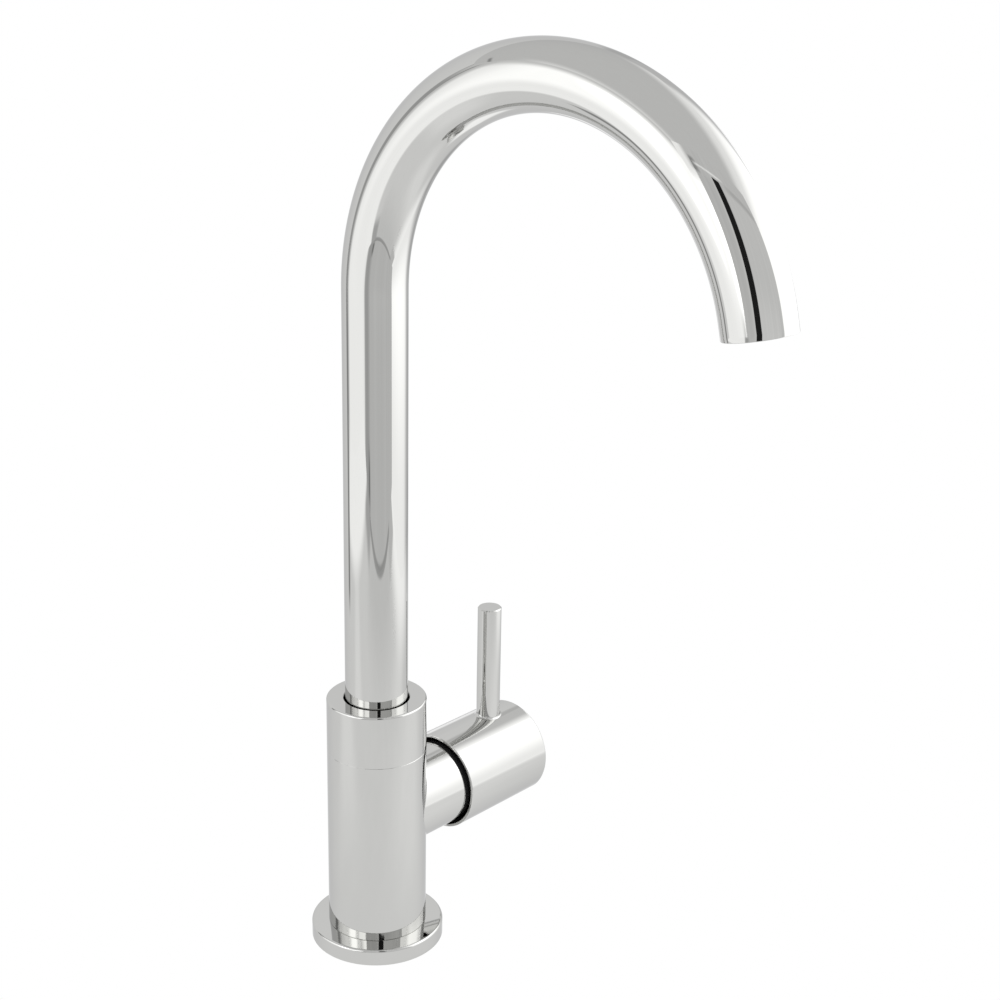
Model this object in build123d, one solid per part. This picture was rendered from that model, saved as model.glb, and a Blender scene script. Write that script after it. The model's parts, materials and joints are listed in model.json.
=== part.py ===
from build123d import *
from math import cos, radians, sin
import os

# Three way filtered water tap: hot, cold and filtered water from one side lever, through a
# gooseneck spout with a second, inner waterway for the filtered water.
# Millimetres. Origin at the centre of the base on the worktop, +Z up, spout to -Y, lever to +X.

# Base flange and its gasket
flange_radius = 27.0
flange_rim_height = 6.6
flange_crown_height = 7.0
flange_edge_round = 1.1
gasket_inner_radius = 20.5
gasket_outer_radius = 25.0
gasket_thickness = 2.4

# Body
body_radius = 20.0
body_foot_chamfer = 0.2
spigot_radius = 16.9
seam_height = 84.8
seam_chamfer = 0.1
neck_radius = 17.0
neck_top = 93.0

# Hose sockets and stud hole in the underside, and the riser above each socket
stud_hole_radius = 3.4
stud_hole_depth = 14.0
inlet_radius = 4.5
inlet_depth = 13.0
inlet_circle_radius = 10.5
inlet_angles = (60, 180, 300)
riser_radius = 3.0

# Spout socket in the body, and the filtered water socket below it
socket_radius = 10.5
socket_floor = 72.0
socket_lead_in = 0.6
filtered_socket_radius = 4.0
filtered_socket_floor = 60.0
filtered_channel_radius = 1.8

# Slanting drilling for mixed water, from the roof of the chamber up into the spout socket
mixed_channel_radius = 2.4
mixed_channel_start_x = 15.0
mixed_channel_end_x = 7.5
mixed_channel_overrun = 2.0

# Side branch and the chamber that the cartridge sits in; stations run along the lever axis
lever_height = 55.8
branch_radius = 17.9
branch_fillet = 1.0
branch_end = 33.5
chamber_radius = 13.0
chamber_floor = 11.0
thread_radius = 15.0
thread_start = 27.5

# Collar
collar_top = 107.0
collar_edge_round = 0.8
collar_hole_radius = 13.1
collar_hole_chamfer = 0.25
collar_pocket_radius = 15.8
collar_pocket_top = 100.0

# Spout tail, which turns in the socket between two washers
tail_bottom = 73.0
tail_radius = 10.42
tail_bore_radius = 7.0
tail_shoulder_radius = 15.2
tail_shoulder_bottom = 94.5
tail_shoulder_top = 98.0
tail_plug_top = 110.0
tail_rim = 1.5
tail_funnel_depth = 4.0
tail_ring_heights = (77.0, 83.0)
ring_groove_radius = 8.7
ring_groove_width = 2.4
ring_clearance = 0.05
swivel_gap = 0.05
washer_play = 0.1

# Gooseneck: a column, a bend and a short straight tip
spout_radius = 12.5
spout_wall = 1.2
bend_height = 273.0
bend_radius = 86.0
bend_angle = 167.0
tip_straight = 5.0

# Filtered water line inside the spout
hose_radius = 4.0
hose_bore_radius = 2.75
hose_start = 74.0
filtered_spigot_bottom = 61.0
filtered_spigot_radius = 3.92
filtered_spigot_bore = 1.7
filtered_spigot_chamfer = 0.4
filtered_barb_top = 82.0
filtered_ring_height = 65.5
filtered_groove_radius = 2.9
filtered_groove_width = 1.6

# Outlet fittings at the spout tip, measured back up the spout from the cut end
adapter_setback = 0.8
adapter_length = 10.0
adapter_lip = 1.0
adapter_lip_gap = 0.02
adapter_radius = 10.8
adapter_bore_radius = 9.6
adapter_ledge_radius = 8.4
adapter_ledge_thickness = 1.4
aerator_length = 6.4
aerator_wall = 1.4
aerator_core_radius = 4.6
aerator_front_recess = 1.6
aerator_back_recess = 2.2
aerator_slot_count = 12
aerator_slot_width = 1.3
aerator_slot_margin = 0.4
washer_thickness = 1.2
washer_inner_radius = 7.8
nozzle_setback = 1.0
nozzle_radius = 3.6
nozzle_bore_radius = 1.6
nozzle_barb_radius = 2.1
nozzle_barb_length = 3.0

# Cartridge base: three inlet ports round the filtered outlet, their seals and two pegs
base_face = 11.4
base_top = 15.6
port_circle_radius = 6.4
port_radius = 2.0
port_drilling_radius = 1.8
port_angles = (60, 180, 300)
fed_port_angles = (300, 180, 60)
seal_radius = 3.1
seal_depth = 1.2
peg_radius = 1.5
peg_length = 2.6
peg_circle_radius = 9.65
peg_angles = (114, 246)
peg_hole_radius = 1.6
peg_hole_depth = 3.2

# Cartridge shell, with side windows for the mixed water and a notch that stops the turret
shell_radius = 12.6
shell_inner_radius = 10.8
shell_shoulder = 29.5
shell_neck_radius = 11.4
shell_lip_bottom = 34.8
shell_top = 36.8
shell_hole_radius = 8.6
shell_ring_station = 24.4
shell_ring_radius = 0.7
shell_groove_width = 1.9
window_station = 20.0
window_width = 8.0
window_height = 2.6
notch_radius = 9.1
notch_width = 2.4
notch_margin = 12.0
turn_limit = 45.0

# Ceramic discs and the carrier that the stem pushes
disc_thickness = 3.0
disc_play = 0.1
disc_gap = 0.05
kidney_half_angle = 16
kidney_width = 3.0
moving_disc_radius = 9.0
moving_disc_thickness = 2.8
closed_offset = -1.5
pocket_length = 11.0
pocket_width = 5.4
pocket_depth = 1.4
carrier_top = 25.0
carrier_half_width = 6.3
guide_gap = 0.3

# Turret, with its stop lug and the slot that the stem tilts in
turret_bottom = 25.2
turret_radius = 10.4
turret_shoulder = 34.5
turret_top = 37.5
turret_neck_radius = 8.2
skirt_bottom = 21.6
lug_centre = 9.0
lug_length = 1.8
lug_width = 3.0
lug_height = 1.7
slot_centre = 0.1
slot_length = 13.0
slot_overrun = 1.0

# Stem, its pivot pin, and what holds the cartridge in
pivot_station = 32.0
pivot_radius = 1.25
pivot_clearance = 0.05
pivot_half_length = 9.6
finger_reach = 8.0
finger_radius = 1.6
ball_radius = 2.0
stem_size = 6.2
stem_start = 28.4
stem_end = 59.0
stem_end_chamfer = 0.6
stem_gap = 0.3
nut_hex_radius = 15.4
nut_top = 36.8
nut_bore_radius = 11.5
cover_ring_radius = 17.3
cover_ring_end = 37.0

# Lever drum: a hollow drum with a hub for the stem, bosses for the pin and screw, and two webs
drum_radius = 20.4
drum_start = 35.2
drum_end = 82.1
drum_edge_round = 0.9
drum_lip_round = 0.45
drum_lip_radius = 19.2
drum_lip_length = 2.3
drum_lip_slope = 1.0
drum_cavity_radius = 18.2
drum_end_wall = 4.2
hub_radius = 7.5
hub_start = 46.0
hub_socket = 6.3
hub_socket_end = 60.0
web_thickness = 2.4
web_setback = 2.0

# Pin, clamping screw and the plug that covers the screw
pin_station = 66.5
pin_radius = 5.0
pin_top = 125.5
pin_edge_chamfer = 0.4
pin_foot_round = 1.0
pin_boss_radius = 6.5
pin_thread_radius = 3.0
pin_thread_depth = 10.0
screw_station = 53.0
screw_boss_radius = 4.5
screw_radius = 2.5
screw_length = 6.0
screw_key_width = 2.5
screw_key_depth = 2.6
plug_radius = 3.0
plug_length = 2.0
plug_setback = 0.4

# How far a cutting shape runs past the face that it opens
cut_overrun = 1.0

# Drawing on this plane, x points to the pin's side and z runs out along the lever axis.
lever_plane = Plane(origin=(0, 0, lever_height), x_dir=(0, 0, 1), z_dir=(1, 0, 0))

# The bend lies in the YZ plane; the tip carries on straight from its end.
bend_turn = radians(bend_angle)
tip_direction = (0, -sin(bend_turn), cos(bend_turn))


def on_bend(angle):
    """The point on the spout's centreline after it has turned by this angle, in radians."""
    return 0, bend_radius * (cos(angle) - 1), bend_height + bend_radius * sin(angle)


tip_centre = tuple(end + tip_straight * way for end, way in zip(on_bend(bend_turn), tip_direction))
# On this plane z runs back up the spout from the cut end.
tip_plane = Plane(origin=tip_centre, x_dir=(1, 0, 0), z_dir=tuple(-way for way in tip_direction))

# Where the washer meets the adapter's ledge, and where the hose meets the nozzle behind it
washer_back = adapter_setback + adapter_length - adapter_ledge_thickness
nozzle_shoulder = washer_back - washer_thickness

lever_plug_far = plug_setback - drum_radius


def turned(outline):
    """A closed outline of (radius, height) points, turned about Z."""
    loop = Polyline([(radius, 0, height) for radius, height in outline], close=True)
    return revolve(make_face(loop), Axis.Z)


def rod(radius, bottom, top, x=0.0, y=0.0):
    """A round bar along Z."""
    return Location((x, y, (bottom + top) / 2)) * Cylinder(radius, top - bottom)


def bar(x_size, y_size, bottom, top, x=0.0):
    """A square-edged bar along Z."""
    return Location((x, 0, (bottom + top) / 2)) * Box(x_size, y_size, top - bottom)


def tube(outer, inner, bottom, top):
    """A ring with a plain rectangular section."""
    return turned([(inner, bottom), (outer, bottom), (outer, top), (inner, top)])


def around(radius, angle):
    """The x and y of a point on a circle, the angle in degrees."""
    return radius * cos(radians(angle)), radius * sin(radians(angle))


def drilled(start, end, radius):
    """A round bar from one point to another, for drillings that cross."""
    path = Line(start, end)
    return sweep(Plane(origin=path @ 0, z_dir=path % 0) * Circle(radius), path)


def seal_ring(inner_radius, outer_radius, height):
    """A sealing ring about Z, its round section drawn with eight sides."""
    centre = (inner_radius + outer_radius) / 2
    corner = (outer_radius - inner_radius) / 2 / cos(radians(22.5))
    sides = [around(corner, 22.5 + 45 * step) for step in range(8)]
    return turned([(centre + across, height + up) for across, up in sides])


def bent_tube(outer, inner, start_height):
    """A tube along the spout's centreline: up the column, over the bend and down the tip."""
    path = Wire([
        Line((0, 0, start_height), (0, 0, bend_height)),
        ThreePointArc(on_bend(0), on_bend(bend_turn / 2), on_bend(bend_turn)),
        Line(on_bend(bend_turn), tip_centre),
    ])
    section = Plane.XY.offset(start_height) * (Circle(outer) - Circle(inner))
    return sweep(section, path)


# ---- base and body ----

def base_flange():
    flange = turned([
        (spigot_radius, 0),
        (flange_radius, 0),
        (flange_radius, flange_rim_height),
        (body_radius, flange_crown_height),
        (spigot_radius, flange_crown_height),
    ])
    rim = flange.edges().filter_by_position(Axis.Z, flange_rim_height - 0.01, flange_rim_height + 0.01)
    flange = fillet(rim.filter_by(GeomType.CIRCLE), flange_edge_round)
    return flange - tube(gasket_outer_radius, gasket_inner_radius, 0, gasket_thickness)


def base_gasket():
    return tube(gasket_outer_radius, gasket_inner_radius, 0, gasket_thickness)


def is_branch_root(box):
    """The saddle-shaped line where the side branch meets the column."""
    return box.max.X < body_radius + 0.1 and box.max.Y - box.min.Y > branch_radius - 1 \
        and box.min.Z > lever_height - branch_radius - 1 \
        and box.max.Z < lever_height + branch_radius + 1


def tap_body():
    column = turned([
        (0, 0),
        (spigot_radius, 0),
        (spigot_radius, flange_crown_height),
        (body_radius - body_foot_chamfer, flange_crown_height),
        (body_radius, flange_crown_height + body_foot_chamfer),
        (body_radius, seam_height - seam_chamfer),
        (body_radius - seam_chamfer, seam_height),
        (neck_radius, seam_height),
        (neck_radius, neck_top),
        (0, neck_top),
    ])
    body = column + lever_plane * rod(branch_radius, 0, branch_end)
    root = [edge for edge in body.edges() if is_branch_root(edge.bounding_box())]
    body = fillet(root, branch_fillet)

    # Spout socket with a lead-in for the sealing rings, and the filtered socket under it
    body -= turned([
        (0, filtered_socket_floor),
        (filtered_socket_radius, filtered_socket_floor),
        (filtered_socket_radius, socket_floor),
        (socket_radius, socket_floor),
        (socket_radius, neck_top - socket_lead_in),
        (socket_radius + socket_lead_in, neck_top),
        (0, neck_top),
    ])

    # Cartridge chamber, its thread and the two blind holes that locate the cartridge
    body -= lever_plane * rod(chamber_radius, chamber_floor, branch_end + cut_overrun)
    body -= lever_plane * rod(thread_radius, thread_start, branch_end + cut_overrun)
    body -= lever_plane * pegs(peg_hole_radius, peg_hole_depth)

    # Stud hole and the three hose sockets, each with its riser and cross drilling to a port
    body -= rod(stud_hole_radius, 0, stud_hole_depth)
    for inlet_angle, port_angle in zip(inlet_angles, fed_port_angles):
        x, y = around(inlet_circle_radius, inlet_angle)
        port_up, port_side = around(port_circle_radius, port_angle)
        port_height = lever_height + port_up
        body -= rod(inlet_radius, 0, inlet_depth, x, y)
        body -= rod(riser_radius, inlet_depth - cut_overrun, port_height, x, y)
        body -= drilled((x, -port_side, port_height), (chamber_floor, -port_side, port_height),
                        port_drilling_radius)

    # Filtered water goes up the middle, mixed water up the slanting drilling
    body -= drilled((0, 0, lever_height), (chamber_floor, 0, lever_height), filtered_channel_radius)
    body -= rod(filtered_channel_radius, lever_height, filtered_socket_floor)
    chamber_roof = lever_height + chamber_radius
    body -= drilled((mixed_channel_start_x, 0, chamber_roof - mixed_channel_overrun),
                    (mixed_channel_end_x, 0, socket_floor + mixed_channel_overrun),
                    mixed_channel_radius)
    return body


def spout_collar():
    collar = turned([
        (neck_radius, seam_height),
        (body_radius - seam_chamfer, seam_height),
        (body_radius, seam_height + seam_chamfer),
        (body_radius, collar_top),
        (collar_hole_radius + collar_hole_chamfer, collar_top),
        (collar_hole_radius, collar_top - collar_hole_chamfer),
        (collar_hole_radius, collar_pocket_top),
        (collar_pocket_radius, collar_pocket_top),
        (collar_pocket_radius, neck_top),
        (neck_radius, neck_top),
    ])
    top_edges = collar.edges().filter_by_position(Axis.Z, collar_top - 0.01, collar_top + 0.01)
    return fillet(top_edges.sort_by(SortBy.RADIUS)[-1], collar_edge_round)


# ---- spout ----

def lower_swivel_washer():
    return tube(tail_shoulder_radius, socket_radius + socket_lead_in,
                neck_top, tail_shoulder_bottom - swivel_gap)


def upper_swivel_washer():
    return tube(collar_pocket_radius - washer_play, collar_hole_radius,
                tail_shoulder_top + swivel_gap, collar_pocket_top)


def spout_tube():
    return bent_tube(spout_radius, spout_radius - spout_wall, tail_shoulder_top)


def spout_tail():
    plug_radius_in_tube = spout_radius - spout_wall
    tail = turned([
        (tail_bore_radius, tail_bottom),
        (tail_radius - socket_lead_in, tail_bottom),
        (tail_radius, tail_bottom + socket_lead_in),
        (tail_radius, tail_shoulder_bottom),
        (tail_shoulder_radius, tail_shoulder_bottom),
        (tail_shoulder_radius, tail_shoulder_top),
        (plug_radius_in_tube, tail_shoulder_top),
        (plug_radius_in_tube, tail_plug_top),
        (plug_radius_in_tube - tail_rim, tail_plug_top),
        (tail_bore_radius, tail_plug_top - tail_funnel_depth),
    ])
    for height in tail_ring_heights:
        tail -= tube(tail_radius + cut_overrun, ring_groove_radius,
                     height - ring_groove_width / 2, height + ring_groove_width / 2)
    return tail


def spout_sealing_rings():
    outside = socket_radius - ring_clearance
    return Compound(children=[seal_ring(ring_groove_radius, outside, height)
                              for height in tail_ring_heights])


def filtered_hose():
    hose = bent_tube(hose_radius, hose_bore_radius, hose_start)
    return hose - tip_plane * rod(hose_radius + cut_overrun, -cut_overrun, nozzle_shoulder)


def filtered_spigot():
    groove_bottom = filtered_ring_height - filtered_groove_width / 2
    groove_top = filtered_ring_height + filtered_groove_width / 2
    return turned([
        (filtered_spigot_bore, filtered_spigot_bottom),
        (filtered_spigot_radius - filtered_spigot_chamfer, filtered_spigot_bottom),
        (filtered_spigot_radius, filtered_spigot_bottom + filtered_spigot_chamfer),
        (filtered_spigot_radius, groove_bottom),
        (filtered_groove_radius, groove_bottom),
        (filtered_groove_radius, groove_top),
        (filtered_spigot_radius, groove_top),
        (filtered_spigot_radius, hose_start),
        (hose_bore_radius, hose_start),
        (hose_bore_radius, filtered_barb_top),
        (filtered_spigot_bore, filtered_barb_top),
    ])


def filtered_sealing_ring():
    return seal_ring(filtered_groove_radius, filtered_socket_radius - ring_clearance,
                     filtered_ring_height)


# ---- outlet ----

def outlet_adapter():
    back = adapter_setback + adapter_length
    wall = spout_radius - spout_wall - adapter_lip_gap
    ring = turned([
        (adapter_bore_radius, adapter_setback),
        (wall, adapter_setback),
        (wall, adapter_setback + adapter_lip),
        (adapter_radius, adapter_setback + adapter_lip),
        (adapter_radius, back),
        (adapter_ledge_radius, back),
        (adapter_ledge_radius, washer_back),
        (adapter_bore_radius, washer_back),
    ])
    return tip_plane * ring


def aerator_washer():
    return tip_plane * tube(adapter_bore_radius, washer_inner_radius, nozzle_shoulder, washer_back)


def aerator():
    """The outer waterway's outlet: a ring of slots round a core that holds the nozzle."""
    back = nozzle_shoulder
    front = back - aerator_length
    recess_radius = adapter_bore_radius - aerator_wall
    grid = tube(adapter_bore_radius, nozzle_radius, front, back)
    grid -= tube(recess_radius, aerator_core_radius, front - cut_overrun, front + aerator_front_recess)
    grid -= tube(recess_radius, aerator_core_radius, back - aerator_back_recess, back + cut_overrun)
    slot_start = aerator_core_radius + aerator_slot_margin
    slot_end = recess_radius - aerator_slot_margin
    slot = bar(slot_end - slot_start, aerator_slot_width, front, back, (slot_start + slot_end) / 2)
    for step in range(aerator_slot_count):
        grid -= Rot(0, 0, step * 360 / aerator_slot_count) * slot
    return tip_plane * grid


def filtered_nozzle():
    """The inner waterway's outlet, through the middle of the aerator and into the hose."""
    barb_end = nozzle_shoulder + nozzle_barb_length
    nozzle = turned([
        (nozzle_bore_radius, nozzle_setback),
        (nozzle_radius, nozzle_setback),
        (nozzle_radius, nozzle_shoulder),
        (nozzle_barb_radius, nozzle_shoulder),
        (nozzle_barb_radius, barb_end),
        (nozzle_bore_radius, barb_end),
    ])
    return tip_plane * nozzle


# ---- cartridge ----

def pegs(radius, length):
    """The two pegs under the cartridge, or the holes for them."""
    first, second = [rod(radius, base_face - length, base_face, *around(peg_circle_radius, angle))
                     for angle in peg_angles]
    return first + second


def port_centres():
    """The three inlet ports round the filtered outlet in the middle."""
    return [(0, 0)] + [around(port_circle_radius, angle) for angle in port_angles]


def port_seals():
    seal_end = base_face + seal_depth
    seals = [lever_plane * (rod(seal_radius, chamber_floor, seal_end, *centre)
                            - rod(port_radius, chamber_floor, seal_end, *centre))
             for centre in port_centres()]
    return Compound(children=seals)


def cartridge_base():
    base = rod(shell_radius, base_face, base_top) + pegs(peg_radius, peg_length)
    for centre in port_centres():
        base -= rod(port_radius, base_face, base_top, *centre)
        base -= rod(seal_radius, base_face, base_face + seal_depth, *centre)
    return lever_plane * base


def fixed_disc():
    """The lower ceramic disc, with a kidney-shaped opening over each inlet port."""
    top = base_top + disc_thickness
    disc = rod(shell_inner_radius - disc_play, base_top, top)
    disc -= rod(port_radius, base_top, top)
    for angle in port_angles:
        arc = CenterArc((0, 0), port_circle_radius, angle - kidney_half_angle, 2 * kidney_half_angle)
        kidney = Plane.XY.offset(base_top) * SlotArc(arc, kidney_width)
        disc -= extrude(kidney, disc_thickness)
    return lever_plane * disc


def moving_disc():
    """It slides towards the pin's side as the lever opens, and joins the ports below it."""
    bottom = base_top + disc_thickness + disc_gap
    disc = rod(moving_disc_radius, bottom, bottom + moving_disc_thickness, closed_offset)
    pocket = Pos(closed_offset, 0, bottom) * SlotOverall(pocket_length, pocket_width, 90)
    return lever_plane * (disc - extrude(pocket, pocket_depth))


def disc_carrier():
    """Keyed into the turret by its flats, pushed along them by the ball of the stem."""
    bottom = base_top + disc_thickness + disc_gap + moving_disc_thickness
    carrier = rod(moving_disc_radius, bottom, carrier_top, closed_offset)
    carrier &= bar(4 * moving_disc_radius, 2 * carrier_half_width, bottom, carrier_top)
    return lever_plane * (carrier - rod(ball_radius + guide_gap, bottom, carrier_top))


def lever_turret():
    """Turns in the shell, drives the carrier with its guide, and holds the stem's pivot pin."""
    turret = turned([
        (0, skirt_bottom),
        (turret_radius, skirt_bottom),
        (turret_radius, turret_shoulder),
        (turret_neck_radius, turret_shoulder),
        (turret_neck_radius, turret_top),
        (0, turret_top),
    ])
    turret -= bar(4 * turret_radius, 2 * (carrier_half_width + guide_gap), skirt_bottom, turret_bottom)
    turret += bar(lug_length, lug_width, turret_shoulder, turret_shoulder + lug_height, lug_centre)
    turret -= bar(slot_length, stem_size + 2 * stem_gap,
                  turret_bottom - slot_overrun, turret_top + slot_overrun, slot_centre)
    turret -= pivot_bar(pivot_radius, turret_radius)
    return lever_plane * turret


def pivot_bar(radius, half_length):
    """A bar across the lever axis, on the line that the stem pivots about."""
    across = Rot(90, 0, 0) * Cylinder(radius, 2 * half_length)
    return Location((0, 0, pivot_station)) * across


def stem_pivot_pin():
    return lever_plane * pivot_bar(pivot_radius, pivot_half_length)


def cartridge_shell():
    shell = turned([
        (shell_inner_radius, base_top),
        (shell_radius, base_top),
        (shell_radius, shell_shoulder),
        (shell_neck_radius, shell_shoulder),
        (shell_neck_radius, shell_top),
        (shell_hole_radius, shell_top),
        (shell_hole_radius, shell_lip_bottom),
        (shell_inner_radius, shell_lip_bottom),
    ])
    shell -= tube(shell_radius + cut_overrun, chamber_radius - 2 * shell_ring_radius,
                  shell_ring_station - shell_groove_width / 2,
                  shell_ring_station + shell_groove_width / 2)
    shell -= bar(window_width, 4 * shell_radius,
                 window_station - window_height / 2, window_station + window_height / 2)
    half_angle = turn_limit + notch_margin
    arc = CenterArc((0, 0), notch_radius, -half_angle, 2 * half_angle)
    notch = Plane.XY.offset(shell_lip_bottom) * SlotArc(arc, notch_width)
    return lever_plane * (shell - extrude(notch, shell_top - shell_lip_bottom))


def cartridge_sealing_ring():
    return lever_plane * seal_ring(chamber_radius - 2 * shell_ring_radius, chamber_radius,
                                   shell_ring_station)


def cartridge_nut():
    nut = rod(thread_radius, shell_shoulder, branch_end)
    hexagon = Plane.XY.offset(branch_end) * RegularPolygon(nut_hex_radius, 6)
    nut += extrude(hexagon, nut_top - branch_end)
    return lever_plane * (nut - rod(nut_bore_radius, shell_shoulder, nut_top))


def cover_ring():
    """The black ring that shows in the gap between the branch and the drum."""
    return lever_plane * tube(cover_ring_radius, nut_hex_radius, branch_end, cover_ring_end)


# ---- lever ----

def lever_stem():
    ball_station = pivot_station - finger_reach
    stem = Location((0, 0, ball_station)) * Sphere(ball_radius)
    stem += rod(finger_radius, ball_station, stem_start + cut_overrun)
    block = bar(stem_size, stem_size, stem_start, stem_end)
    stem += chamfer(block.faces().sort_by(Axis.Z)[-1].edges(), stem_end_chamfer)
    return lever_plane * (stem - pivot_bar(pivot_radius + pivot_clearance, stem_size))


def radial_bar(radius, near, far, station):
    """A round bar square to the lever axis; positive is the pin's side."""
    across = Rot(0, 90, 0) * Cylinder(radius, far - near)
    return Location(((near + far) / 2, 0, station)) * across


def drum_blank():
    """The drum's outside: a thick round at the far end and a fine one at the open lip."""
    blank = rod(drum_radius, drum_start, drum_end)
    far_edge = blank.edges().filter_by(GeomType.CIRCLE).sort_by(Axis.Z)[-1]
    blank = fillet(far_edge, drum_edge_round)
    near_edge = blank.edges().filter_by(GeomType.CIRCLE).sort_by(Axis.Z)[0]
    return fillet(near_edge, drum_lip_round)


def lever_drum():
    cavity_end = drum_end - drum_end_wall
    lip_end = drum_start + drum_lip_length
    cavity = turned([
        (0, drum_start),
        (drum_lip_radius, drum_start),
        (drum_lip_radius, lip_end),
        (drum_cavity_radius, lip_end + drum_lip_slope),
        (drum_cavity_radius, cavity_end),
        (0, cavity_end),
    ])
    ribs = rod(hub_radius, hub_start, cavity_end)
    ribs += radial_bar(pin_boss_radius, 0, drum_cavity_radius, pin_station)
    ribs += radial_bar(screw_boss_radius, -drum_cavity_radius, 0, screw_station)
    ribs += bar(web_thickness, 2 * drum_cavity_radius, hub_start + web_setback, cavity_end)
    drum = drum_blank() - (cavity - (ribs & cavity))
    drum -= bar(hub_socket, hub_socket, hub_start, hub_socket_end)
    drum -= pin_thread()
    drum -= radial_bar(screw_radius, -drum_radius - cut_overrun, 0, screw_station)
    drum -= radial_bar(plug_radius, -drum_radius - cut_overrun, lever_plug_far + plug_length,
                       screw_station)
    return lever_plane * drum


def pin_thread():
    """The pin's threaded tail, or the hole for it."""
    return radial_bar(pin_thread_radius, drum_radius - pin_thread_depth, drum_radius + cut_overrun,
                      pin_station)


def is_pin_foot(box):
    """The saddle-shaped line where the pin meets the drum."""
    around_pin = abs((box.min.Z + box.max.Z) / 2 - pin_station) < 0.1
    return around_pin and box.min.X > drum_radius - 1 and box.max.X < drum_radius + 0.1


def pin_lever():
    """The pin stands on the drum with a small round at its foot and a threaded tail inside."""
    blank = drum_blank()
    joined = blank + radial_bar(pin_radius, 0, pin_top - lever_height, pin_station)
    foot = [edge for edge in joined.edges() if is_pin_foot(edge.bounding_box())]
    pin = fillet(foot, pin_foot_round) - blank
    pin = chamfer(pin.edges().sort_by(Axis.X)[-1], pin_edge_chamfer)
    return lever_plane * (pin + pin_thread())


def lever_screw():
    """A socket set screw that clamps the drum on the stem."""
    head = -hub_socket / 2 - screw_length
    screw = radial_bar(screw_radius, head, -hub_socket / 2, screw_station)
    hexagon = RegularPolygon(screw_key_width / 2, 6, major_radius=False)
    key = Rot(0, 90, 0) * extrude(Plane.XY * hexagon, screw_key_depth)
    return lever_plane * (screw - Location((head, 0, screw_station)) * key)


def screw_plug():
    return lever_plane * radial_bar(plug_radius, lever_plug_far, lever_plug_far + plug_length,
                                    screw_station)


pieces = [
    base_flange, base_gasket, tap_body, spout_collar,
    lower_swivel_washer, upper_swivel_washer, spout_tube, spout_tail, spout_sealing_rings,
    filtered_hose, filtered_spigot, filtered_sealing_ring,
    outlet_adapter, aerator_washer, aerator, filtered_nozzle,
    port_seals, cartridge_base, fixed_disc, moving_disc, disc_carrier, lever_turret,
    stem_pivot_pin, cartridge_shell, cartridge_sealing_ring, cartridge_nut, cover_ring,
    lever_stem, lever_drum, pin_lever, lever_screw, screw_plug,
]

os.makedirs("parts", exist_ok=True)
for piece in pieces:
    export_step(piece(), f"parts/{piece.__name__}.step")
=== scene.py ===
import json
import math

import bmesh
import bpy
from mathutils import Matrix, Vector


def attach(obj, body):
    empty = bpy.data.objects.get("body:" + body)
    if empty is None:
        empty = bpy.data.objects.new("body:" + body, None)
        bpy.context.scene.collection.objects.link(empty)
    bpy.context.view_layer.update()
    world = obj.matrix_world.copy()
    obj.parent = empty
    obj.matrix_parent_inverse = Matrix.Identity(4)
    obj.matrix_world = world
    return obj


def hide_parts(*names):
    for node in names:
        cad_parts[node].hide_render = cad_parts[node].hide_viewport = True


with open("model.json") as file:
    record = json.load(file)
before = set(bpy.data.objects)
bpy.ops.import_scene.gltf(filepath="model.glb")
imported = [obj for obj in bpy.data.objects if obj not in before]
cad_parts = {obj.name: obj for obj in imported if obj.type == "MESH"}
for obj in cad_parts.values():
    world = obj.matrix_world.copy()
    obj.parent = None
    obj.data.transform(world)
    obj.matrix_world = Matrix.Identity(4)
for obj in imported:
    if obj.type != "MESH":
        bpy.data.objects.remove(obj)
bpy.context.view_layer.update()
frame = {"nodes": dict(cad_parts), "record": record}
nodes = frame["nodes"]
mm = 0.001
sharpOver = math.radians(40)  # edges that turn more than this stay crisp
print("frame loaded:", len(nodes), "nodes")


def linearColour(hexCode):
    channels = [int(hexCode[i:i + 2], 16) / 255 for i in (1, 3, 5)]
    return [c / 12.92 if c <= 0.04045 else ((c + 0.055) / 1.055) ** 2.4 for c in channels] + [1.0]


def addNode(tree, kind, settings=None, links=None):
    # settings are sockets by name or number, or else the node's own properties
    node = tree.nodes.new(kind)
    for name, value in (settings or {}).items():
        if isinstance(name, int) or name in node.inputs:
            node.inputs[name].default_value = value
        else:
            setattr(node, name, value)
    for name, source in (links or {}).items():
        tree.links.new(source, node.inputs[name])
    return node


# What every material's grain shares: the noise's detail, the part of its range in use, how strongly its
# relief tilts the light, and the spacing of a ring wave of scale 1
grainSettings = {"detail": 3.0, "low": 0.3, "high": 0.7, "tilt": 0.8, "ringSpacing": 0.314,
                 "ringWaver": 0.4}


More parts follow.
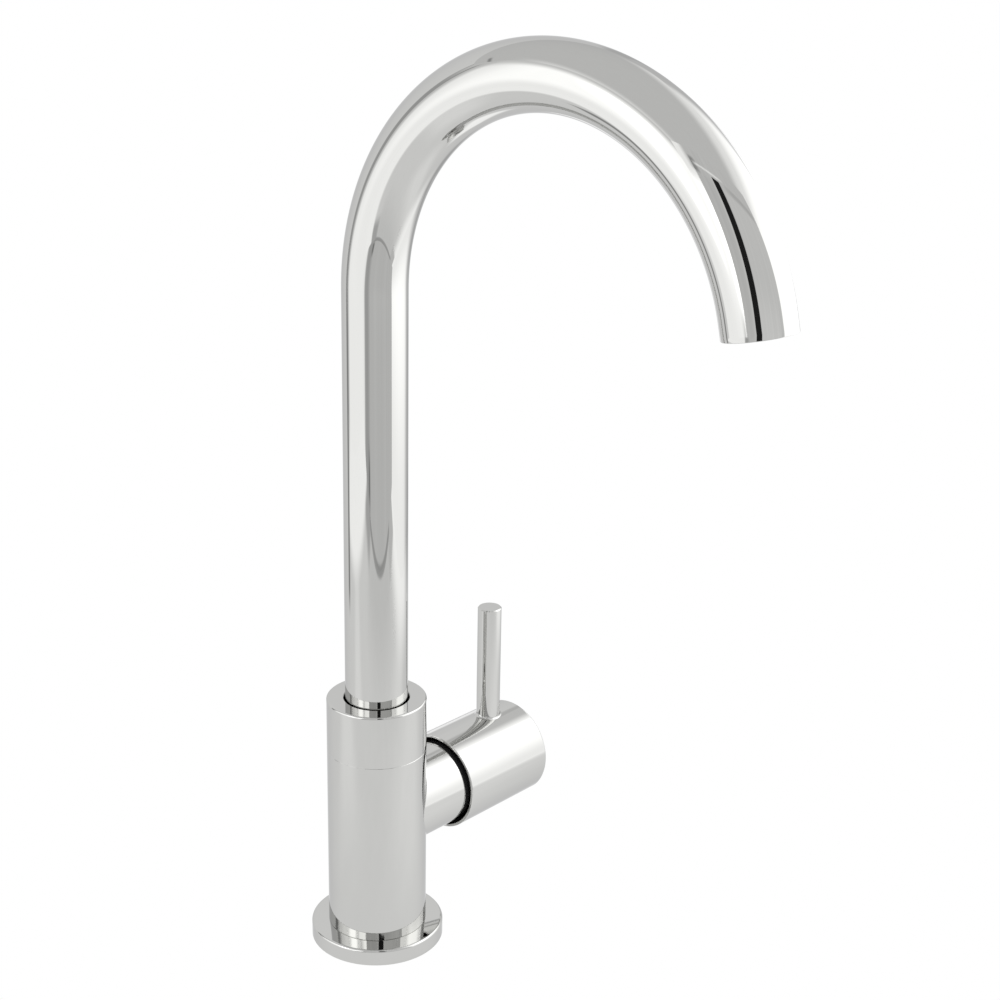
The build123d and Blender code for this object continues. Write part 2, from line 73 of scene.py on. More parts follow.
def makeMaterial(name, look):
    # one grain, sized in the piece's own millimetres, drives its colour, gloss and relief together
    material = bpy.data.materials.new(name)
    material.use_nodes = True
    tree = material.node_tree
    shader = tree.nodes["Principled BSDF"]
    shader.inputs["Base Color"].default_value = linearColour(look["colour"])
    for socket, value in look.get("plain", {}).items():
        shader.inputs[socket].default_value = value
    place = addNode(tree, "ShaderNodeTexCoord")
    stretch = addNode(tree, "ShaderNodeMapping", {"Scale": look.get("stretch", (1, 1, 1))},
                      {"Vector": place.outputs["Object"]})
    grain = addNode(tree, "ShaderNodeTexNoise", {
        "Scale": 1 / (look["grain"] * mm), "Detail": grainSettings["detail"]},
        {"Vector": stretch.outputs["Vector"]})
    smooth, rough = look["gloss"]
    gloss = addNode(tree, "ShaderNodeMapRange", {
        "From Min": grainSettings["low"], "From Max": grainSettings["high"],
        "To Min": smooth, "To Max": rough}, {"Value": grain.outputs["Fac"]})
    tree.links.new(gloss.outputs["Result"], shader.inputs["Roughness"])
    if "light" in look:
        mix = addNode(tree, "ShaderNodeMix", {"data_type": "RGBA", 6: linearColour(look["colour"]),
                                              7: linearColour(look["light"])}, {0: grain.outputs["Fac"]})
        tree.links.new(mix.outputs[2], shader.inputs["Base Color"])
    height = grain.outputs["Fac"]
    if "feed" in look:
        # turning rings about the upright axis
        rings = addNode(tree, "ShaderNodeTexWave", {
            "wave_type": "RINGS", "rings_direction": "Z", "Distortion": grainSettings["ringWaver"],
            "Scale": grainSettings["ringSpacing"] / (look["feed"] * mm)},
            {"Vector": place.outputs["Object"]})
        height = rings.outputs["Fac"]
    if "relief" in look:
        bump = addNode(tree, "ShaderNodeBump", {
            "Strength": grainSettings["tilt"], "Distance": look["relief"] * mm}, {"Height": height})
        tree.links.new(bump.outputs["Normal"], shader.inputs["Normal"])
    return material


def bareInside(material, inner, hollows):
    # in these hollows, each a round space about an axis, the inner look's colour and gloss show
    tree = material.node_tree
    shader = tree.nodes["Principled BSDF"]
    place = addNode(tree, "ShaderNodeTexCoord")
    mask = None
    for hollow in hollows:
        axis, start, end = hollow["axis"], hollow["start"] * mm, hollow["end"] * mm
        moved = addNode(tree, "ShaderNodeVectorMath", {
            "operation": "SUBTRACT", 1: Vector(hollow["through"]) * mm}, {0: place.outputs["Object"]})
        across = addNode(tree, "ShaderNodeVectorMath", {"operation": "MULTIPLY", 1: [1 - a for a in axis]},
                         {0: moved.outputs[0]})
        away = addNode(tree, "ShaderNodeVectorMath", {"operation": "LENGTH"}, {0: across.outputs[0]})
        along = addNode(tree, "ShaderNodeVectorMath", {"operation": "DOT_PRODUCT", 1: axis},
                        {0: moved.outputs[0]})
        near = addNode(tree, "ShaderNodeMath", {"operation": "LESS_THAN", 1: hollow["radius"] * mm},
                       {0: away.outputs["Value"]})
        between = addNode(tree, "ShaderNodeMath", {
            "operation": "COMPARE", 1: (start + end) / 2, 2: (end - start) / 2},
            {0: along.outputs["Value"]})
        inside = addNode(tree, "ShaderNodeMath", {"operation": "MULTIPLY"},
                         {0: near.outputs[0], 1: between.outputs[0]}).outputs[0]
        mask = inside if mask is None else addNode(tree, "ShaderNodeMath", {"operation": "MAXIMUM"},
                                                   {0: mask, 1: inside}).outputs[0]
    colour = addNode(tree, "ShaderNodeMix", {
        "data_type": "RGBA", 6: shader.inputs["Base Color"].default_value,
        7: linearColour(inner["colour"])}, {0: mask})
    gloss = addNode(tree, "ShaderNodeMix", {3: inner["gloss"][1]},
                    {0: mask, 2: shader.inputs["Roughness"].links[0].from_socket})
    tree.links.new(colour.outputs[2], shader.inputs["Base Color"])
    tree.links.new(gloss.outputs[0], shader.inputs["Roughness"])
    return material


# Bright nickel-chrome plate on polished brass: a clean mirror, a little grey, that darkens what it
# reflects and stays grey at its edges, where other metals flare up
chromeLook = {"colour": "#C9C9C7", "grain": 20, "gloss": (0.012, 0.03),
              "plain": {"Metallic": 1.0, "Specular Tint": linearColour("#E1E1E2")}}
# Free-cutting brass off the lathe: warm and satin, with rings 0.15 mm apart, drawn at 0.5 mm to show
brassLook = {"colour": "#BE9850", "light": "#D2AE68", "grain": 0.7, "gloss": (0.2, 0.34), "feed": 0.5,
             "relief": 0.02, "plain": {"Metallic": 1.0}}
# The drum's cavity: dull, rough plate, and a near-black colour that is painted shade in the hollow
dullPlatePaintedShadeLook = {"colour": "#3A3936", "gloss": (0.45, 0.6)}

chrome = makeMaterial("chromePlatedBrass", chromeLook)
turnedBrass = makeMaterial("turnedBrass", brassLook)
finishOfSlot = {
    "chrome": chrome,
    "brass": turnedBrass,
    # Ground stainless bar: cooler and duller than the chrome, with its 0.1 mm grit lines drawn at 0.4 mm
    "steel": makeMaterial("groundStainlessSteel", {
        "colour": "#9E9E9B", "light": "#B4B4B1", "grain": 0.4, "stretch": (0.1, 1, 1),
        "gloss": (0.22, 0.36), "relief": 0.004, "plain": {"Metallic": 1.0}}),
    # Moulded nitrile rubber: near black, with a dusty bloom
    "rubber": makeMaterial("mouldedNitrileRubber", {
        "colour": "#0E0E0E", "light": "#1B1B1A", "grain": 0.35, "gloss": (0.62, 0.85), "relief": 0.03}),
    # Lapped alumina: dense off-white with a soft sheen; its 0.01 mm grain is drawn at 0.2 mm
    "ceramic": makeMaterial("lappedAlumina", {
        "colour": "#E9E3D3", "light": "#F4F0E5", "grain": 0.2, "gloss": (0.18, 0.28)}),
    # Moulded acetal: waxy white with a faint satin grain
    "white_plastic": makeMaterial("mouldedWhiteAcetal", {
        "colour": "#E0DFD8", "light": "#EAE9E4", "grain": 0.4, "gloss": (0.34, 0.48), "relief": 0.01,
        "plain": {"Subsurface Weight": 0.1, "Subsurface Scale": 0.6 * mm}}),
    # The same resin coloured grey, for the nozzle and the plug
    "grey_plastic": makeMaterial("mouldedGreyAcetal", {
        "colour": "#747678", "light": "#828486", "grain": 0.4, "gloss": (0.34, 0.48), "relief": 0.01}),
    # Extruded natural polyethylene: milky, lets some light through, with faint draw lines along it
    "clear_plastic": makeMaterial("extrudedPolyethylene", {
        "colour": "#DDE4E5", "light": "#EDF1F0", "grain": 1.6, "stretch": (1, 1, 0.15),
        "gloss": (0.26, 0.4), "plain": {"Transmission Weight": 0.35, "IOR": 1.51}}),
    # Glass-filled polyamide, moulded matt black: swallows the light in the gap
    "black_plastic": makeMaterial("mattBlackPolyamide", {
        "colour": "#151515", "light": "#202021", "grain": 0.25, "gloss": (0.42, 0.6), "relief": 0.02}),
}
for part in frame["record"]["subparts"]:
    mesh = nodes[part["node"]].data
    mesh.materials.clear()
    mesh.materials.append(finishOfSlot[part["material_slot"]])

# The body's underside, bores and chamber are left bare. The drum is chrome outside, and its cavity gets the
# dull plate with painted shade
leverCentre = (0, 0, 55.8)
hollows = {
    "column": {"axis": (0, 0, 1), "through": (0, 0, 0), "radius": 19.6, "start": -1, "end": 120},
    "chamber": {"axis": (1, 0, 0), "through": leverCentre, "radius": 15.2, "start": 0, "end": 33.4},
    "drum": {"axis": (1, 0, 0), "through": leverCentre, "radius": 19.3, "start": 30, "end": 77.9},
}
nodes["tap_body"].data.materials[0] = bareInside(
    makeMaterial("chromePlateOverBareBores", chromeLook), brassLook,
    [hollows["column"], hollows["chamber"]])
# inside the drum the dark colour is painted shade, over the dull plate's gloss
nodes["lever_drum"].data.materials[0] = bareInside(
    makeMaterial("chromeOverPaintedShadeCavity", chromeLook), dullPlatePaintedShadeLook, [hollows["drum"]])
print("materials made:", len(finishOfSlot), "and two with bare hollows")


def newTree(name, sizes):
    # a Geometry Nodes tree that grows from points, with the piece's sizes as its named inputs
    tree = bpy.data.node_groups.new(name, "GeometryNodeTree")
    tree.interface.new_socket("Points", in_out="INPUT", socket_type="NodeSocketGeometry")
    for label, value in sizes.items():
        kind = "NodeSocketInt" if isinstance(value, int) else "NodeSocketFloat"
        tree.interface.new_socket(label, in_out="INPUT", socket_type=kind)
    tree.interface.new_socket("Material", in_out="INPUT", socket_type="NodeSocketMaterial")
    tree.interface.new_socket("Geometry", in_out="OUTPUT", socket_type="NodeSocketGeometry")
    return tree, tree.nodes.new("NodeGroupInput").outputs


def grow(name, tree, inputs, geometry, sizes, points, edges=(), materials=(), modifiers=()):
    # ends the tree, runs it and the plain modifiers after it, and keeps only the mesh
    real = addNode(tree, "GeometryNodeRealizeInstances", None, {"Geometry": geometry})
    dressed = addNode(tree, "GeometryNodeSetMaterial", None, {"Geometry": real.outputs[0],
                                                              "Material": inputs["Material"]})
    addNode(tree, "NodeGroupOutput", None, {"Geometry": dressed.outputs[0]})
    start = bpy.data.meshes.new(name + "Points")
    start.from_pydata([Vector(p) * mm for p in points], list(edges), [])
    holder = bpy.data.objects.new(name + "Holder", start)
    bpy.context.scene.collection.objects.link(holder)
    growing = holder.modifiers.new("growing", "NODES")
    growing.node_group = tree
    values = dict(sizes, Material=materials[0])
    for item in tree.interface.items_tree:
        if item.in_out == "INPUT" and item.name in values:
            growing[item.identifier] = values[item.name]
    for kind, settings in modifiers:
        modifier = holder.modifiers.new(kind.lower(), kind)
        for key, value in settings.items():
            setattr(modifier, key, value)
    mesh = bpy.data.meshes.new_from_object(holder.evaluated_get(bpy.context.evaluated_depsgraph_get()))
    bpy.data.objects.remove(holder)
    mesh.name = name
    mesh.materials.clear()
    for material in materials:
        mesh.materials.append(material)
    obj = bpy.data.objects.new(name, mesh)
    bpy.context.scene.collection.objects.link(obj)
    mesh.shade_smooth()
    mesh.set_sharp_from_angle(angle=sharpOver)
    print(name + ":", len(mesh.polygons), "faces")
    return obj


def outward(obj):
    # merges doubles and turns every closed shell's faces outwards
    shell = bmesh.new()
    shell.from_mesh(obj.data)
    bmesh.ops.remove_doubles(shell, verts=shell.verts, dist=0.001 * mm)
    bmesh.ops.recalc_face_normals(shell, faces=shell.faces)
    shell.to_mesh(obj.data)
    shell.free()
    return obj


# The gooseneck: one tube up the column, over the bend and down the short straight tip
gooseneck = {"foot": 98, "bendHeight": 273, "bendTurn": math.radians(167), "tip": 5, "wall": 1.2,
             "lip": 0.18, "lipSteps": 3, "lipOver": math.radians(60)}
gooseneckSizes = {"Tube radius": 12.5 * mm, "Bend radius": 86 * mm, "Bend steps": 160, "Rings": 220,
                  "Sides": 128}

tree, sizes = newTree("gooseneck", gooseneckSizes)
path = addNode(tree, "GeometryNodeMeshToCurve", None, {0: sizes["Points"]})
bend = addNode(tree, "GeometryNodeFilletCurve", {"mode": "POLY"}, {
    "Curve": path.outputs[0], "Count": sizes["Bend steps"], "Radius": sizes["Bend radius"]})
even = addNode(tree, "GeometryNodeResampleCurve", None, {"Curve": bend.outputs[0], "Count": sizes["Rings"]})
ring = addNode(tree, "GeometryNodeCurvePrimitiveCircle", None, {"Resolution": sizes["Sides"],
                                                                "Radius": sizes["Tube radius"]})
skin = addNode(tree, "GeometryNodeCurveToMesh", None, {"Curve": even.outputs[0],
                                                       "Profile Curve": ring.outputs[0]})

# the two straight runs meet far above the bend, where one fillet rounds their corner
cornerReach = gooseneckSizes["Bend radius"] / mm * math.tan(gooseneck["bendTurn"] / 2)
tipWay = Vector((0, -math.sin(gooseneck["bendTurn"]), math.cos(gooseneck["bendTurn"])))
corner = Vector((0, 0, gooseneck["bendHeight"] + cornerReach))
tipEnd = corner + tipWay * (cornerReach + gooseneck["tip"])
spoutTube = grow("gooseneckTube", tree, sizes, skin.outputs[0], gooseneckSizes,
                 [(0, 0, gooseneck["foot"]), corner, tipEnd], [(0, 1), (1, 2)], [chrome, turnedBrass], [
                     ("SOLIDIFY", {"thickness": gooseneck["wall"] * mm, "offset": -1, "material_offset": 1,
                                   "use_even_offset": True}),
                     ("BEVEL", {"width": gooseneck["lip"] * mm, "segments": gooseneck["lipSteps"],
                                "limit_method": "ANGLE", "angle_limit": gooseneck["lipOver"]})])
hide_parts("spout_tube")
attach(spoutTube, "spout")

# The aerator in the tip: a rim and a core with a grid of blades and hoops between them.
# Its stations run back up the spout from the cut end
aerator = {"front": 1.8, "length": 6.4, "gridFront": 3.4, "gridDepth": 2.2}
aeratorSizes = {"Rim radius": 8.9 * mm, "Rim wall": 1.4 * mm, "Core radius": 4.1 * mm,
                "Core wall": 1.0 * mm, "Length": aerator["length"] * mm, "Blades": 40,
                "Blade width": 0.35 * mm, "Blade length": 3.9 * mm, "Blade centre": 6.4 * mm, "Hoops": 3,
                "First hoop": 5.4 * mm, "Hoop step": 1.0 * mm, "Hoop wall": 0.07,
                "Grid depth": aerator["gridDepth"] * mm, "Sides": 96}

tree, sizes = newTree("aeratorGrid", aeratorSizes)
rings = []
for radius, wall in (("Rim radius", "Rim wall"), ("Core radius", "Core wall")):
    line = addNode(tree, "GeometryNodeCurvePrimitiveCircle", None, {"Resolution": sizes["Sides"],
                                                                    "Radius": sizes[radius]})
    section = addNode(tree, "GeometryNodeCurvePrimitiveQuadrilateral", None, {"Width": sizes[wall],
                                                                              "Height": sizes["Length"]})
    hoop = addNode(tree, "GeometryNodeCurveToMesh", None, {"Curve": line.outputs[0],
                                                           "Profile Curve": section.outputs[0]})
    lifted = addNode(tree, "GeometryNodeTransform", {
        "Translation": (0, 0, (aerator["front"] + aerator["length"] / 2) * mm)},
        {"Geometry": hoop.outputs[0]})
    rings.append(lifted.outputs[0])

# the hoops are one ring of radius 1, stood on a row of points, scaled to each point's distance and
# then moved to the middle
row = addNode(tree, "GeometryNodeMeshLine", None, {"Count": sizes["Hoops"]})
stepAcross = addNode(tree, "ShaderNodeCombineXYZ", None, {"X": sizes["Hoop step"]})
firstAcross = addNode(tree, "ShaderNodeCombineXYZ", None, {"X": sizes["First hoop"]})
tree.links.new(stepAcross.outputs[0], row.inputs["Offset"])
tree.links.new(firstAcross.outputs[0], row.inputs["Start Location"])
unitLine = addNode(tree, "GeometryNodeCurvePrimitiveCircle", {"Radius": 1.0},
                   {"Resolution": sizes["Sides"]})
unitSection = addNode(tree, "GeometryNodeCurvePrimitiveQuadrilateral", None, {
    "Width": sizes["Hoop wall"], "Height": sizes["Grid depth"]})
unitHoop = addNode(tree, "GeometryNodeCurveToMesh", None, {"Curve": unitLine.outputs[0],
                                                           "Profile Curve": unitSection.outputs[0]})
where = addNode(tree, "GeometryNodeInputPosition")
split = addNode(tree, "ShaderNodeSeparateXYZ", None, {0: where.outputs[0]})
hoopScale = addNode(tree, "ShaderNodeCombineXYZ", {"Z": 1.0}, {"X": split.outputs["X"],
                                                               "Y": split.outputs["X"]})
scattered = addNode(tree, "GeometryNodeInstanceOnPoints", None, {
    "Points": row.outputs[0], "Instance": unitHoop.outputs[0], "Scale": hoopScale.outputs[0]})
middle = addNode(tree, "ShaderNodeCombineXYZ")
centred = addNode(tree, "GeometryNodeSetPosition", None, {"Geometry": scattered.outputs[0],
                                                          "Position": middle.outputs[0]})

# the blades stand round a circle, each turned to look outwards
spots = addNode(tree, "GeometryNodeMeshCircle", None, {"Vertices": sizes["Blades"],
                                                       "Radius": sizes["Blade centre"]})
bladeSize = addNode(tree, "ShaderNodeCombineXYZ", None, {
    "X": sizes["Blade length"], "Y": sizes["Blade width"], "Z": sizes["Grid depth"]})
blade = addNode(tree, "GeometryNodeMeshCube", None, {"Size": bladeSize.outputs[0]})
facing = addNode(tree, "FunctionNodeAlignRotationToVector", {"axis": "X"}, {"Vector": where.outputs[0]})
blades = addNode(tree, "GeometryNodeInstanceOnPoints", None, {
    "Points": spots.outputs[0], "Instance": blade.outputs[0], "Rotation": facing.outputs[0]})
grid = addNode(tree, "GeometryNodeJoinGeometry")
for piece in (centred, blades):
    tree.links.new(piece.outputs[0], grid.inputs[0])
gridLifted = addNode(tree, "GeometryNodeTransform", {
    "Translation": (0, 0, (aerator["gridFront"] + aerator["gridDepth"] / 2) * mm)},
    {"Geometry": grid.outputs[0]})
whole = addNode(tree, "GeometryNodeJoinGeometry")
for piece in (*rings, gridLifted.outputs[0]):
    tree.links.new(piece, whole.inputs[0])
tipTurn = (gooseneck["bendTurn"] - math.pi, 0, 0)
onTip = addNode(tree, "GeometryNodeInstanceOnPoints", {"Rotation": tipTurn}, {
    "Points": sizes["Points"], "Instance": whole.outputs[0]})
aeratorGrid = outward(grow("aeratorGrid", tree, sizes, onTip.outputs[0], aeratorSizes, [tipEnd],
                           materials=[finishOfSlot["white_plastic"]]))
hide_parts("aerator")
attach(aeratorGrid, "spout")

# Screw threads in the three hose sockets and in the stud hole: one spiral ridge each, of four-sided section
threads = {
    "hoseSocketThreads": {"Radius": 4.5, "Pitch": 1.0, "Depth": 13.0, "Ridge": 0.28},
    "studHoleThread": {"Radius": 3.4, "Pitch": 1.25, "Depth": 14.0, "Ridge": 0.3},
}
threadSteps = 48  # for each turn
socketCircle = {"radius": 10.5, "angles": (60, 180, 300)}
threadSpots = {
    "hoseSocketThreads": [Matrix.Rotation(math.radians(a), 4, "Z") @ Vector((socketCircle["radius"], 0, 0))
                          for a in socketCircle["angles"]],
    "studHoleThread": [(0, 0, 0)],
}
for name, thread in threads.items():
    threaded = thread["Depth"] - 2 * thread["Pitch"]
    threadSizes = {"Radius": thread["Radius"] * mm, "Turns": threaded / thread["Pitch"],
                   "Height": threaded * mm, "Ridge": thread["Ridge"] * mm, "Steps": threadSteps}
    tree, sizes = newTree(name, threadSizes)
    spiral = addNode(tree, "GeometryNodeCurveSpiral", None, {
        "Resolution": sizes["Steps"], "Rotations": sizes["Turns"], "Start Radius": sizes["Radius"],
        "End Radius": sizes["Radius"], "Height": sizes["Height"]})
    crest = addNode(tree, "GeometryNodeCurvePrimitiveCircle", {"Resolution": 4}, {"Radius": sizes["Ridge"]})
    ridge = addNode(tree, "GeometryNodeCurveToMesh", {"Fill Caps": True}, {
        "Curve": spiral.outputs[0], "Profile Curve": crest.outputs[0]})
    raised = addNode(tree, "GeometryNodeTransform", {"Translation": (0, 0, thread["Pitch"] * mm)},
                     {"Geometry": ridge.outputs[0]})
    placed = addNode(tree, "GeometryNodeInstanceOnPoints", None, {"Points": sizes["Points"],
                                                                  "Instance": raised.outputs[0]})
    ridges = outward(grow(name, tree, sizes, placed.outputs[0], threadSizes, threadSpots[name],
                          materials=[turnedBrass]))
    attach(ridges, "tap")

# The light tent: its cloth only shows in the chrome. Millimetres, in the tent's own frame
tent = {"turn": -30, "right": 400, "left": -640, "back": 480, "front": -420, "height": 760,
        "foldDepth": 0.05, "foldWidth": 30, "foldStretch": 0.03, "foldLow": 0.25, "foldHigh": 0.75,
        "flatShare": 0.25, "proud": 0.5, "power": 0.955}
turnTent = Matrix.Rotation(math.radians(tent["turn"]), 4, "Z")

# Each panel: wall, span across it, span up it, brightness, the shares of both spans over which
# its low and high ends fade out, and how many layers proud of the wall it hangs. One ray crosses
# at most eight that fade, so no more hang over one another
panels = {
    "floorWhole": ("floor", (-640, 400), (-420, 480), 0.99, (0, 0, 0, 0), 0),
    "floorNearLeft": ("floor", (-450, -40), (-120, 70), 1.13, (0.2, 0.4, 0.4, 0.4), 1),
    "floorNearRight": ("floor", (-30, 400), (-230, 50), 1.13, (0.35, 0, 0.5, 0.35), 2),
    "floorLeft": ("floor", (-640, -375), (-420, 330), 1.47, (0, 0.3, 0, 0.12), 3),
    "floorRight": ("floor", (240, 400), (-420, 260), 1.5, (0.9, 0, 0, 0.3), 3),
    "floorFront": ("floor", (-330, 300), (-420, -180), 0.86, (0.2, 0.2, 0, 0.8), 4),
    "floorFrontLeft": ("floor", (-440, -230), (-420, -300), 0.6, (0.25, 0.3, 0, 0.5), 5),
    "floorFrontRight": ("floor", (200, 368), (-420, -300), 0.78, (0.3, 0.1, 0, 0.35), 5),
    "floorSeam": ("floor", (-320, 275), (-420, -400), 0.5, (0.1, 0.05, 0, 0.5), 6),
    "floorCorner": ("floor", (230, 400), (180, 480), 0.66, (0.6, 0, 0.4, 0), 4),
    "floorBehind": ("floor", (10, 150), (50, 230), 1.6, (0.25, 0.25, 0.3, 0.3), 4),
    "ceiling": ("ceiling", (-640, 400), (-420, 480), 0.81, (0, 0, 0, 0), 0),
    "ceilingLeft": ("ceiling", (-640, -440), (-420, 260), 1.1, (0, 0.9, 0, 0.3), 1),
    "ceilingRight": ("ceiling", (230, 400), (-420, 400), 1.25, (0.9, 0, 0, 0.2), 1),
    "ceilingLine": ("ceiling", (-640, -420), (350, 394), 0.4, (0, 0.4, 0.45, 0.45), 2),
    "backWall": ("back", (-640, 400), (0, 760), 0.99, (0, 0, 0, 0), 0),
    "backFoot": ("back", (50, 170), (0, 130), 1.6, (0.25, 0.25, 0, 0.5), 1),
    "backLeft": ("back", (-640, -585), (0, 760), 0.6, (0, 0.6, 0, 0), 1),
    "backRight": ("back", (290, 400), (0, 760), 0.74, (0.5, 0, 0, 0), 1),
    "frontWall": ("front", (-640, 400), (0, 760), 1.42, (0, 0, 0, 0), 0),
    "frontGlow": ("front", (-640, -365), (170, 600), 2.4, (0, 0.05, 0.3, 0.3), 1),
    "frontMiddle": ("front", (-370, 392), (0, 760), 0.8, (0.04, 0.02, 0, 0), 2),
    "frontFoot": ("front", (-500, 400), (0, 190), 0.76, (0.15, 0, 0, 0.3), 3),
    "frontLeft": ("front", (-370, -118), (190, 650), 0.76, (0.05, 0.05, 0.3, 0), 3),
    "frontRight": ("front", (0, 392), (190, 655), 0.86, (0.02, 0.02, 0.3, 0), 3),
    "frontRightLow": ("front", (0, 330), (190, 400), 0.94, (0.02, 0.2, 0.2, 0.5), 4),
    "frontEdge": ("front", (-560, -235), (0, 260), 0.54, (0.35, 0.35, 0, 0.4), 4),
    "frontSeam": ("front", (-320, 275), (0, 9), 0.46, (0.05, 0.05, 0, 0.5), 5),
    "frontKnot": ("front", (-345, -255), (4, 60), 0.26, (0.45, 0.45, 0.3, 0.5), 6),
    "crumpleTop": ("front", (-500, 392), (590, 760), 0.8, (0.18, 0.02, 0.2, 0), 4),
    "crumpleKnot": ("front", (-385, -225), (596, 705), 0.4, (0.3, 0.6, 0.2, 0.3), 6),
    "crumpleDark": ("front", (0, 392), (598, 650), 0.66, (0.3, 0.2, 0.5, 0.3), 5),
    "crumpleLight": ("front", (-330, 60), (640, 664), 1.2, (0.2, 0.2, 0.4, 0.4), 6),
    "rightWall": ("right", (-420, 480), (0, 760), 0.85, (0, 0, 0, 0), 0),
    "rightLow": ("right", (-420, 250), (0, 240), 1.46, (0, 0.3, 0, 0.4), 1),
    "rightMiddle": ("right", (-420, 270), (30, 760), 1.85, (0, 0.3, 0.22, 0), 2),
    "rightTop": ("right", (-420, 270), (540, 760), 1.3, (0, 0.3, 0.8, 0), 3),
    "rightSide": ("right", (60, 400), (190, 420), 2.0, (0.2, 0.2, 0.3, 0.3), 4),
    "rightGlow": ("right", (-260, 140), (170, 540), 2.8, (0.3, 0.3, 0.25, 0.3), 5),
    "rightCorner": ("right", (260, 430), (0, 150), 0.66, (0.35, 0.35, 0, 0.3), 5),
    "leftWall": ("left", (-420, 480), (0, 760), 1.45, (0, 0, 0, 0), 0),
    "leftMiddle": ("left", (-420, 240), (90, 760), 1.78, (0, 0.3, 0.3, 0), 1),
    "leftTop": ("left", (-420, 480), (580, 760), 0.92, (0, 0, 0.9, 0), 2),
    "leftGlow": ("left", (-340, -20), (200, 640), 3.0, (0.3, 0.4, 0.25, 0.25), 3),
    "leftEnd": ("left", (240, 480), (0, 760), 0.85, (0.42, 0, 0, 0), 4),
    "leftLine": ("left", (356, 404), (0, 740), 0.4, (0.45, 0.45, 0, 0.1), 5),
}


def wallPoint(wall, across, up, proud):
    if wall == "floor":
        return across, up, proud
    if wall == "ceiling":
        return across, up, tent["height"] - proud
    if wall in ("front", "back"):
        return across, tent[wall] + (proud if wall == "front" else -proud), up
    return tent[wall] + (proud if wall == "left" else -proud), across, up


def hangCloth(name, corners, radiance, fades=(0, 0, 0, 0), folds=tent["foldDepth"], onlyInMirrors=True):
    # a glowing cloth; fades are the shares of its width and height over which each edge thins away
    radiance *= tent["power"] if onlyInMirrors else 1
    mesh = bpy.data.meshes.new(name)
    mesh.from_pydata([turnTent @ (Vector(c) * mm) for c in corners], [], [(0, 1, 2, 3)])
    spread = mesh.uv_layers.new(name="spread")
    for loop, uv in zip(spread.data, ((0, 0), (1, 0), (1, 1), (0, 1))):
        loop.uv = uv
    obj = bpy.data.objects.new(name, mesh)
    bpy.context.scene.collection.objects.link(obj)
    material = bpy.data.materials.new(name)
    material.use_nodes = True
    tree = material.node_tree
    tree.nodes.clear()
    glow = addNode(tree, "ShaderNodeEmission", {"Strength": radiance})
    surface = glow.outputs[0]
    if onlyInMirrors:
        # hanging folds: the brightness wavers across the cloth but hardly along it
        place = addNode(tree, "ShaderNodeTexCoord")
        stretch = addNode(tree, "ShaderNodeMapping", {"Scale": (1, 1, tent["foldStretch"])},
                          {"Vector": place.outputs["Object"]})
        fold = addNode(tree, "ShaderNodeTexNoise", {
            "Scale": 1 / (tent["foldWidth"] * mm), "Detail": grainSettings["detail"]},
            {"Vector": stretch.outputs[0]})
        waver = addNode(tree, "ShaderNodeMapRange", {
            "From Min": tent["foldLow"], "From Max": tent["foldHigh"], "To Min": radiance * (1 - folds),
            "To Max": radiance * (1 + folds)}, {"Value": fold.outputs["Fac"]})
        tree.links.new(waver.outputs[0], glow.inputs["Strength"])
        obj.visible_camera = False
        obj.visible_diffuse = False
        obj.visible_shadow = False
    uv = addNode(tree, "ShaderNodeUVMap", {"uv_map": "spread"})
    split = addNode(tree, "ShaderNodeSeparateXYZ", None, {0: uv.outputs[0]})
    clear = addNode(tree, "ShaderNodeBsdfTransparent")
    cover = None
    for fade, axis, edge in zip(fades, "XXYY", (0, 1, 0, 1)):
        if not fade:
            continue
        thin = addNode(tree, "ShaderNodeMapRange", {
            "interpolation_type": "SMOOTHSTEP", "From Min": edge, "From Max": edge + fade * (1 - 2 * edge)},
            {"Value": split.outputs[axis]}).outputs[0]
        cover = thin if cover is None else addNode(tree, "ShaderNodeMath", {"operation": "MULTIPLY"},
                                                   {0: cover, 1: thin}).outputs[0]
    if cover is not None:
        surface = addNode(tree, "ShaderNodeMixShader", None, {0: cover, 1: clear.outputs[0],
                                                              2: surface}).outputs[0]
    if not onlyInMirrors:
        # from below, the table can be seen through
        side = addNode(tree, "ShaderNodeNewGeometry")
        surface = addNode(tree, "ShaderNodeMixShader", None, {0: side.outputs["Backfacing"], 1: surface,
                                                              2: clear.outputs[0]}).outputs[0]
    addNode(tree, "ShaderNodeOutputMaterial", None, {"Surface": surface})
    mesh.materials.append(material)


for name, (wall, across, up, radiance, fades, layer) in panels.items():
    hangCloth(name, [wallPoint(wall, a, u, layer * tent["proud"]) for a, u in
                     ((across[0], up[0]), (across[1], up[0]), (across[1], up[1]), (across[0], up[1]))],
              radiance, fades, tent["foldDepth"] * (1 if wall == "front" else tent["flatShare"]))

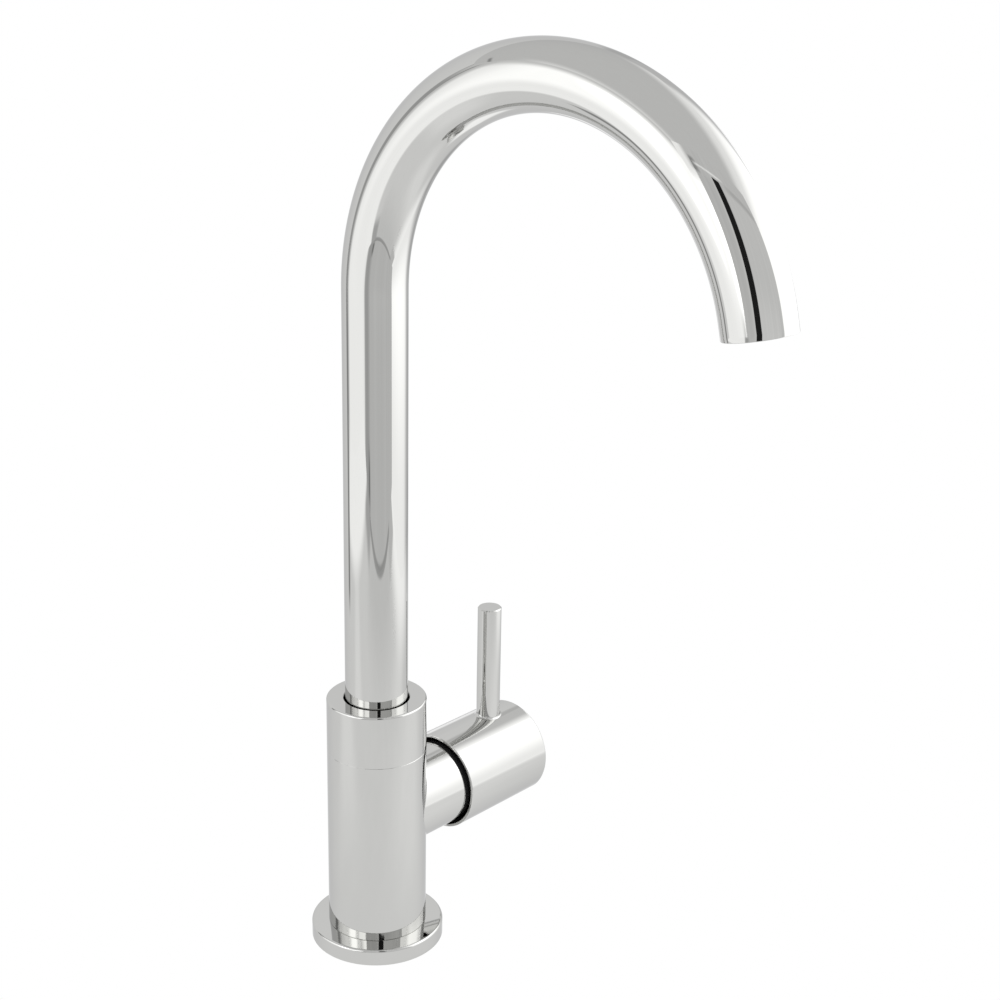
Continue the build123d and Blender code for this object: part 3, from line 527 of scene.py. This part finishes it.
# the opening that the camera looks through, a little wider at its foot
slit = {"low": (-86, 8, 198), "high": (-98, -16, 631), "layer": 7, "radiance": 0.02,
        "fades": (0.04, 0.04, 0, 0)}
slitFace = tent["front"] + slit["layer"] * tent["proud"]
hangCloth("slit", [(slit[end][side], slitFace, slit[end][2]) for end, side in
                   (("low", 0), ("low", 1), ("high", 1), ("high", 0))], slit["radiance"], slit["fades"])
# a thin pole in the far left corner, and the tent's own foot in front of it
poles = {
    "pole": {"from": (-418, 222), "to": (-342, 278), "foot": 150, "top": 600, "radiance": 0.5},
    "poleFoot": {"from": (-304, 152), "to": (-259, 221), "foot": 0, "top": 240, "radiance": 0.36},
}
poleFades = (0.35, 0.35, 0.1, 0.3)
for name, pole in poles.items():
    hangCloth(name, [(*pole["from"], pole["foot"]), (*pole["to"], pole["foot"]), (*pole["to"], pole["top"]),
                     (*pole["from"], pole["top"])], pole["radiance"], poleFades)

# the white table that the tap stands on runs far past the picture
table = {"half": 9000, "height": -0.5, "radiance": 1.0}
hangCloth("table", [(x * table["half"], y * table["half"], table["height"]) for x, y in
                    ((-1, -1), (1, -1), (1, 1), (-1, 1))], table["radiance"], onlyInMirrors=False)

world = bpy.data.worlds.new("whiteRoom")
bpy.context.scene.world = world
world.use_nodes = True
world.node_tree.nodes["Background"].inputs["Color"].default_value = (1, 1, 1, 1)
world.node_tree.nodes["Background"].inputs["Strength"].default_value = 1.0
print("light tent made:", len(panels) + len(poles) + 2, "cloths")

# The camera, solved from the outlines in the photograph
camera = {"place": (-489.916, -499.628, 441.645), "right": (0.66933, -0.74275, 0.0178),
          "up": (0.23987, 0.23871, 0.941), "forward": (0.70318, 0.62557, -0.33794),
          "lens": 69.628, "sensor": 36}
lens = bpy.data.cameras.new("camera")
lens.lens = camera["lens"]
lens.sensor_width = camera["sensor"]
eye = bpy.data.objects.new("camera", lens)
bpy.context.scene.collection.objects.link(eye)
turn = Matrix([camera["right"], camera["up"], [-c for c in camera["forward"]]]).transposed()
eye.matrix_world = Matrix.Translation(Vector(camera["place"]) * mm) @ turn.to_4x4()
bpy.context.scene.camera = eye
bpy.context.scene.view_settings.view_transform = "Standard"
bpy.context.scene.view_settings.look = "None"
print("camera placed")
